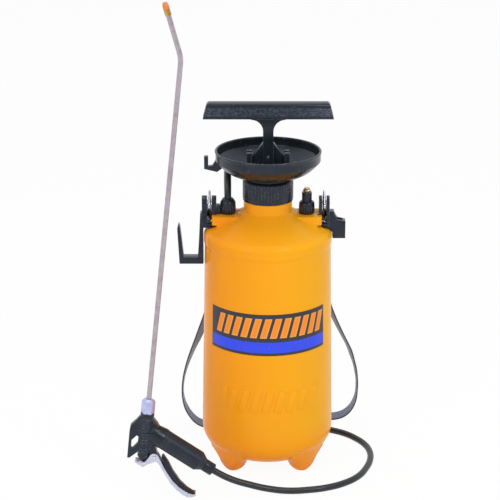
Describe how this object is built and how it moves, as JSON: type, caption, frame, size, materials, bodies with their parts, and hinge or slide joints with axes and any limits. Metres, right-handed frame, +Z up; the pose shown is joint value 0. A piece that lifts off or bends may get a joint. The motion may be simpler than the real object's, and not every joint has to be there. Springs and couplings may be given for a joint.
{
  "type": "hand pump pressure sprayer",
  "caption": "Shoulder-carried hand pump pressure sprayer: round orange tank with filling funnel, T-handle pump, safety valve, strap, hose and trigger gun with a bent lance.",
  "frame": {"origin": "on the floor, under the middle of the sprayer's overall box without the hose", "axes": "+Z up along the tank, -Y is the side with the label, -X is the side where the gun stands"},
  "size_m": [0.3202, 0.2613, 0.6331],
  "materials": {
    "orange_tank": "satin blow-moulded orange polyethylene",
    "label_film": "printed film, dark band and blue stripe",
    "black_plastic": "satin black moulding",
    "pale_plastic": "natural white moulding",
    "clear_tube": "translucent dip tube",
    "black_rubber": "soft black seal",
    "hose_pvc": "smooth black hose",
    "steel_rod": "drawn steel",
    "bright_wire": "bright plated wire",
    "brass": "turned brass",
    "trigger_metal": "silver-grey coated sheet",
    "lance_metal": "drawn tube",
    "nut_metal": "plated hexagon nut",
    "orange_nozzle": "orange nozzle cap",
    "strap_web": "grey-blue woven webbing with dark edges"
  },
  "bodies": {
    "sprayer": {"tank": "orange_tank", "label": "label_film", "neck_gasket": "black_rubber", "funnel": "black_plastic", "funnel_collar": "black_plastic", "outlet_gasket": "black_rubber", "outlet_fitting": "black_plastic", "hose_nut": "black_plastic", "dip_tube": "clear_tube", "dip_strainer": "pale_plastic", "valve_gasket": "black_rubber", "valve_body": "black_plastic", "valve_nut": "black_plastic", "gun_holder": "black_plastic", "lance_socket": "black_plastic", "strap_pins": "steel_rod", "gun_body": "black_plastic", "gland_nut": "black_plastic", "gland_packing": "pale_plastic", "hand_grip": "black_plastic", "hose_barb": "brass", "hose_ferrule": "black_plastic", "trigger_pin": "steel_rod", "hose": "hose_pvc"},
    "carry_strap": {"strap_rings": "bright_wire", "strap": "strap_web"},
    "pump_seat": {"pump_gasket": "black_rubber"},
    "pump": {"pump_head": "black_plastic", "rod_bush": "pale_plastic", "pump_barrel": "black_plastic", "foot_valve": "black_rubber"},
    "plunger": {"pump_handle": "black_plastic", "pump_rod": "steel_rod", "handle_pin": "steel_rod", "piston": "pale_plastic", "piston_seal": "black_rubber", "piston_nut": "steel_rod"},
    "relief": {"valve_stem": "brass", "valve_seal": "black_rubber", "valve_spring": "steel_rod", "valve_knob": "brass", "valve_ring": "bright_wire"},
    "trigger_lever": {"trigger": "trigger_metal", "trigger_pad": "black_plastic"},
    "valve_rod": {"pull_rod": "steel_rod", "pull_nut": "trigger_metal", "gun_valve": "black_rubber", "gun_spring": "steel_rod"},
    "lance_nut": {"union_nut": "nut_metal"},
    "lance": {"lance_tube": "lance_metal", "lance_seal": "black_rubber", "nozzle_body": "brass", "nozzle_core": "brass"},
    "nozzle": {"nozzle_cap": "orange_nozzle"}
  },
  "joints": [
    {"name": "strap_swing", "type": "hinge", "parent": "sprayer", "child": "carry_strap", "pos_m": [0.0265, 0.0047, 0.357], "axis": [1, 0, 0], "range_deg": [0, 100]},
    {"name": "pump_lift", "type": "slide", "parent": "sprayer", "child": "pump_seat", "axis": [0, 0, 1], "range_m": [0, 0.34]},
    {"name": "pump_turn", "type": "hinge", "parent": "pump_seat", "child": "pump", "pos_m": [0.0265, 0.0047, 0.39], "axis": [0, 0, 1], "range_deg": [0, 540]},
    {"name": "pump_stroke", "type": "slide", "parent": "pump", "child": "plunger", "axis": [0, 0, 1], "range_m": [0, 0.2]},
    {"name": "relief_pull", "type": "slide", "parent": "sprayer", "child": "relief", "axis": [0, 0, 1], "range_m": [0, 0.004], "stiffness_N_per_m": 1500, "springref_m": -0.002, "deforming": ["valve_spring"]},
    {"name": "trigger_squeeze", "type": "hinge", "parent": "sprayer", "child": "trigger_lever", "pos_m": [-0.11707, -0.1173, 0.05757], "axis": [0, -1, 0], "range_deg": [0, 15], "stiffness_Nm_per_rad": 2, "springref_deg": -5.73},
    {"name": "rod_pull", "type": "slide", "parent": "sprayer", "child": "valve_rod", "axis": [-0.1063, 0, -0.9943], "range_m": [0, 0.004], "deforming": ["gun_spring"]},
    {"name": "lance_nut_turn", "type": "hinge", "parent": "sprayer", "child": "lance_nut", "pos_m": [-0.12344, -0.1173, 0.12694], "axis": [0.1063, 0, 0.9943], "range_deg": [0, 900]},
    {"name": "lance_turn", "type": "hinge", "parent": "sprayer", "child": "lance", "pos_m": [-0.12322, -0.1173, 0.12893], "axis": [0.1063, 0, 0.9943], "range_deg": [-180, 180]},
    {"name": "nozzle_turn", "type": "hinge", "parent": "lance", "child": "nozzle", "pos_m": [-0.09224, -0.1173, 0.62509], "axis": [-0.2656, 0, 0.9641], "range_deg": [0, 720]}
  ],
  "couplings": [
    {"joint": "rod_pull", "follows": "trigger_squeeze", "m_per_rad": 0.0145}
  ]
}
